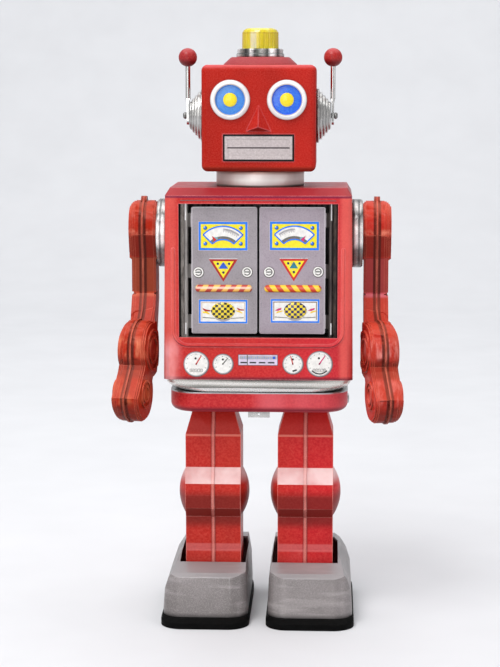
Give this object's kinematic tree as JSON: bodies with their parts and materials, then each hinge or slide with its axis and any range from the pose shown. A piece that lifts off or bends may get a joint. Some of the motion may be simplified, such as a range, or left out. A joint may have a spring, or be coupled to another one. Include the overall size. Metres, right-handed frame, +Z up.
{
  "type": "wind-up toy robot",
  "caption": "Boxy clockwork tin toy robot with opening chest doors, turning torso, swinging half-shell arms, shuffling legs in big shoes and swivelling ball antennas",
  "frame": {"origin": "centre of the bounding box at floor level, between the two soles", "axes": "+Z up, the robot faces -Y, left and right pieces are named as seen from the front, left on -X"},
  "size_m": [0.1456, 0.096, 0.3],
  "materials": {
    "pelvis_shell": "gloss lithographed tinplate",
    "pelvis_deck": "plain tinplate",
    "waist_nut": "plain",
    "crank_frame": "plain",
    "hip_pins": "plain",
    "crankshaft": "plain",
    "leg_drive_shaft": "plain",
    "under_latch": "bright plated",
    "torso_front_shell": "gloss lithographed tinplate",
    "torso_back_cover": "gloss lithographed tinplate",
    "weapons_bay": "dark lacquer",
    "door_left": "lilac grey metallic print",
    "door_right": "lilac grey metallic print",
    "door_link": "plain",
    "gun_barrels": "dark grey moulding",
    "waist_tray": "bright plated",
    "motor_bridge": "plain",
    "motor_plates": "plain",
    "motor_pillars": "plain",
    "mainspring": "blued",
    "winding_arbor": "plain",
    "great_wheel": "plain",
    "ratchet_click": "plain",
    "winding_key": "bright plated",
    "second_wheel": "plain",
    "contrate_wheel": "plain",
    "governor": "plain",
    "drive_shaft": "plain",
    "stop_lever": "bright plated",
    "neck_collar": "satin white silver",
    "head_shell": "gloss lithographed tinplate",
    "mouth_plate": "satin grey metallic",
    "eye_bezels": "white",
    "eye_discs": "blue with yellow centre",
    "head_cap": "gloss",
    "beacon_collar": "bright plated",
    "beacon_lens": "translucent yellow, ribbed",
    "ear_cones": "bright plated",
    "antenna_left": "bright plated",
    "antenna_ball_left": "dark red",
    "antenna_right": "bright plated",
    "antenna_ball_right": "dark red",
    "shoulder_collars": "bright plated",
    "arm_left_inner": "orange red moulding",
    "arm_left_outer": "orange red moulding",
    "arm_axle_left": "plain",
    "leg_left_inner": "red moulding",
    "leg_left_outer": "red moulding",
    "foot_left": "warm grey metallic",
    "sole_left": "black moulding",
    "roller_left": "black",
    "arm_right_inner": "orange red moulding",
    "arm_right_outer": "orange red moulding",
    "arm_axle_right": "plain",
    "leg_right_inner": "red moulding",
    "leg_right_outer": "red moulding",
    "foot_right": "warm grey metallic",
    "sole_right": "black moulding",
    "roller_right": "black"
  },
  "bodies": {
    "pelvis": {"pelvis_shell": "pelvis_shell", "pelvis_deck": "pelvis_deck", "waist_nut": "waist_nut", "crank_frame": "crank_frame", "hip_pins": "hip_pins", "under_latch": "under_latch"},
    "torso": {"torso_front_shell": "torso_front_shell", "torso_back_cover": "torso_back_cover", "weapons_bay": "weapons_bay", "gun_barrels": "gun_barrels", "waist_tray": "waist_tray", "motor_bridge": "motor_bridge", "motor_plates": "motor_plates", "motor_pillars": "motor_pillars", "mainspring": "mainspring", "neck_collar": "neck_collar", "head_shell": "head_shell", "mouth_plate": "mouth_plate", "eye_bezels": "eye_bezels", "eye_discs": "eye_discs", "head_cap": "head_cap", "beacon_collar": "beacon_collar", "beacon_lens": "beacon_lens", "ear_cones": "ear_cones", "shoulder_collars": "shoulder_collars"},
    "winding": {"winding_arbor": "winding_arbor", "great_wheel": "great_wheel", "ratchet_click": "ratchet_click", "winding_key": "winding_key"},
    "second": {"second_wheel": "second_wheel"},
    "contrate": {"contrate_wheel": "contrate_wheel"},
    "governor": {"governor": "governor"},
    "drive": {"drive_shaft": "drive_shaft"},
    "leg_drive": {"leg_drive_shaft": "leg_drive_shaft"},
    "crank": {"crankshaft": "crankshaft"},
    "stop": {"stop_lever": "stop_lever"},
    "link": {"door_link": "door_link"},
    "door_l": {"door_left": "door_left"},
    "door_r": {"door_right": "door_right"},
    "arm_l": {"arm_left_inner": "arm_left_inner", "arm_left_outer": "arm_left_outer", "arm_axle_left": "arm_axle_left"},
    "arm_r": {"arm_right_inner": "arm_right_inner", "arm_right_outer": "arm_right_outer", "arm_axle_right": "arm_axle_right"},
    "leg_l": {"leg_left_inner": "leg_left_inner", "leg_left_outer": "leg_left_outer", "foot_left": "foot_left", "sole_left": "sole_left"},
    "leg_r": {"leg_right_inner": "leg_right_inner", "leg_right_outer": "leg_right_outer", "foot_right": "foot_right", "sole_right": "sole_right"},
    "roller_l": {"roller_left": "roller_left"},
    "roller_r": {"roller_right": "roller_right"},
    "antenna_l": {"antenna_left": "antenna_left", "antenna_ball_left": "antenna_ball_left"},
    "antenna_r": {"antenna_right": "antenna_right", "antenna_ball_right": "antenna_ball_right"}
  },
  "joints": [
    {"name": "torso_turn", "type": "hinge", "parent": "pelvis", "child": "torso", "pos_m": [0, 0, 0.1182], "axis": [0, 0, 1], "continuous": true},
    {"name": "winding_turn", "type": "hinge", "parent": "torso", "child": "winding", "pos_m": [0, 0.02, 0.178], "axis": [0, 1, 0], "continuous": true},
    {"name": "second_wheel_turn", "type": "hinge", "parent": "torso", "child": "second", "pos_m": [-0.014, 0.01, 0.16051], "axis": [0, 1, 0], "continuous": true},
    {"name": "contrate_turn", "type": "hinge", "parent": "torso", "child": "contrate", "pos_m": [0, 0.01, 0.14679], "axis": [0, 1, 0], "continuous": true},
    {"name": "governor_turn", "type": "hinge", "parent": "torso", "child": "governor", "pos_m": [0.0142, 0.01, 0.1506], "axis": [0, 1, 0], "continuous": true},
    {"name": "drive_shaft_turn", "type": "hinge", "parent": "torso", "child": "drive", "pos_m": [0, 0, 0.13], "axis": [0, 0, 1], "continuous": true},
    {"name": "leg_drive_turn", "type": "hinge", "parent": "pelvis", "child": "leg_drive", "pos_m": [0, 0, 0.122], "axis": [0, 0, 1], "continuous": true},
    {"name": "crankshaft_turn", "type": "hinge", "parent": "pelvis", "child": "crank", "pos_m": [0, 0, 0.1154], "axis": [1, 0, 0], "continuous": true},
    {"name": "leg_left_swing", "type": "hinge", "parent": "pelvis", "child": "leg_l", "pos_m": [-0.0238, 0, 0.1105], "axis": [1, 0, 0], "range_deg": [-6, 6]},
    {"name": "leg_right_swing", "type": "hinge", "parent": "pelvis", "child": "leg_r", "pos_m": [0.0238, 0, 0.1105], "axis": [1, 0, 0], "range_deg": [-6, 6]},
    {"name": "arm_left_swing", "type": "hinge", "parent": "torso", "child": "arm_l", "pos_m": [-0.05967, 0, 0.198], "axis": [-1, 0, 0], "continuous": true},
    {"name": "arm_right_swing", "type": "hinge", "parent": "torso", "child": "arm_r", "pos_m": [0.05967, 0, 0.198], "axis": [-1, 0, 0], "continuous": true},
    {"name": "door_left_open", "type": "hinge", "parent": "torso", "child": "door_l", "pos_m": [-0.0363, -0.027, 0.18], "axis": [0, 0, -1], "range_deg": [0, 95], "stiffness_Nm_per_rad": 0.004, "springref_deg": -17.19},
    {"name": "door_right_open", "type": "hinge", "parent": "torso", "child": "door_r", "pos_m": [0.0363, -0.027, 0.18], "axis": [0, 0, 1], "range_deg": [0, 95]},
    {"name": "door_link_slide", "type": "slide", "parent": "torso", "child": "link", "axis": [0, -1, 0], "range_m": [-0.0002, 0.004]},
    {"name": "stop_lever_slide", "type": "slide", "parent": "torso", "child": "stop", "axis": [-1, 0, 0], "range_m": [0, 0.0038]},
    {"name": "antenna_left_swivel", "type": "hinge", "parent": "torso", "child": "antenna_l", "pos_m": [-0.0368, -0.002, 0.2562], "axis": [1, 0, 0], "range_deg": [-100, 100]},
    {"name": "antenna_right_swivel", "type": "hinge", "parent": "torso", "child": "antenna_r", "pos_m": [0.0368, -0.002, 0.2562], "axis": [1, 0, 0], "range_deg": [-100, 100]},
    {"name": "roller_left_turn", "type": "hinge", "parent": "leg_l", "child": "roller_l", "pos_m": [-0.0238, -0.022, 0.0063], "axis": [1, 0, 0], "continuous": true},
    {"name": "roller_right_turn", "type": "hinge", "parent": "leg_r", "child": "roller_r", "pos_m": [0.0238, -0.022, 0.0063], "axis": [1, 0, 0], "continuous": true}
  ],
  "couplings": [
    {"joint": "winding_turn", "follows": "drive_shaft_turn", "ratio": 0.066667},
    {"joint": "second_wheel_turn", "follows": "drive_shaft_turn", "ratio": -0.2},
    {"joint": "contrate_turn", "follows": "drive_shaft_turn", "ratio": 0.5},
    {"joint": "governor_turn", "follows": "drive_shaft_turn", "ratio": -1.25},
    {"joint": "leg_drive_turn", "follows": "drive_shaft_turn", "ratio": 1},
    {"joint": "crankshaft_turn", "follows": "drive_shaft_turn", "ratio": 0.75},
    {"joint": "leg_right_swing", "follows": "leg_left_swing", "ratio": -1},
    {"joint": "door_right_open", "follows": "door_left_open", "ratio": 1},
    {"joint": "door_link_slide", "follows": "door_left_open", "m_per_rad": 0.002223}
  ]
}
